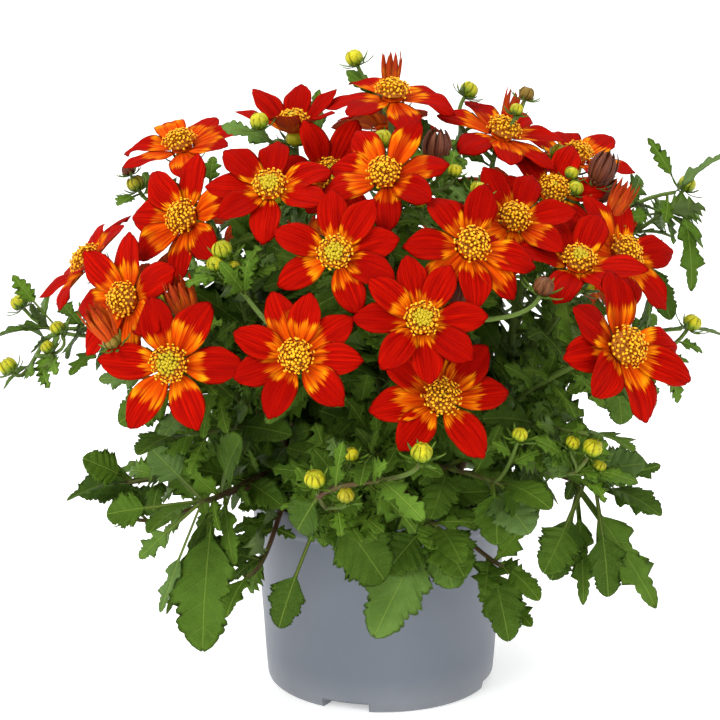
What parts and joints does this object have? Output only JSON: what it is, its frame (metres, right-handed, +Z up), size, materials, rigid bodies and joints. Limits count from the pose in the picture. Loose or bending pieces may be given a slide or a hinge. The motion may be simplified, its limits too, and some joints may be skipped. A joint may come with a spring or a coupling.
{
  "type": "potted bidens plant",
  "caption": "Bushy flowering plant with red and orange blooms, cut leaves and buds on branching stems, rooted in soil in a round tapered nursery pot.",
  "frame": {"origin": "centre of the pot's base, on the surface that it stands on", "axes": "+Z up along the pot's axis, -Y towards the viewer"},
  "size_m": [0.3624, 0.3438, 0.3117],
  "materials": {
    "pot": "satin moulded polypropylene, blue-grey",
    "soil": "dark brown peat and bark potting soil",
    "leaf": "soft green leaf, paler on its ribs and underside, with red-brown older stems",
    "petal": "velvety red petal with an orange-yellow flame at its base",
    "disc": "crowded orange-yellow florets with dark gaps"
  },
  "bodies": {
    "root": {"pot": "pot", "soil": "soil", "leafy_stem_1": "leaf", "leafy_stem_2": "leaf", "leafy_stem_3": "leaf", "leafy_stem_4": "leaf", "leafy_stem_5": "leaf", "leafy_stem_6": "leaf", "petals_a": "petal", "petals_b": "petal", "petals_back_a": "petal", "petals_back_c": "petal", "petals_back_e": "petal", "petals_back_f": "petal", "petals_back_g": "petal", "petals_c": "petal", "petals_d": "petal", "petals_e": "petal", "petals_g": "petal", "petals_h": "petal", "petals_j": "petal", "petals_k": "petal", "petals_l": "petal", "petals_m": "petal", "petals_n": "petal", "petals_o": "petal", "petals_p": "petal", "petals_q": "petal", "petals_t": "petal", "petals_u": "petal", "petals_w": "petal", "disc_a": "disc", "disc_b": "disc", "disc_back_a": "disc", "disc_back_b": "disc", "disc_back_c": "disc", "disc_back_d": "disc", "disc_back_e": "disc", "disc_back_f": "disc", "disc_back_g": "disc", "disc_c": "disc", "disc_d": "disc", "disc_e": "disc", "disc_f": "disc", "disc_g": "disc", "disc_h": "disc", "disc_i": "disc", "disc_j": "disc", "disc_k": "disc", "disc_l": "disc", "disc_m": "disc", "disc_n": "disc", "disc_o": "disc", "disc_p": "disc", "disc_q": "disc", "disc_r": "disc", "disc_s": "disc", "disc_t": "disc", "disc_u": "disc", "disc_w": "disc"}
  },
  "joints": []
}
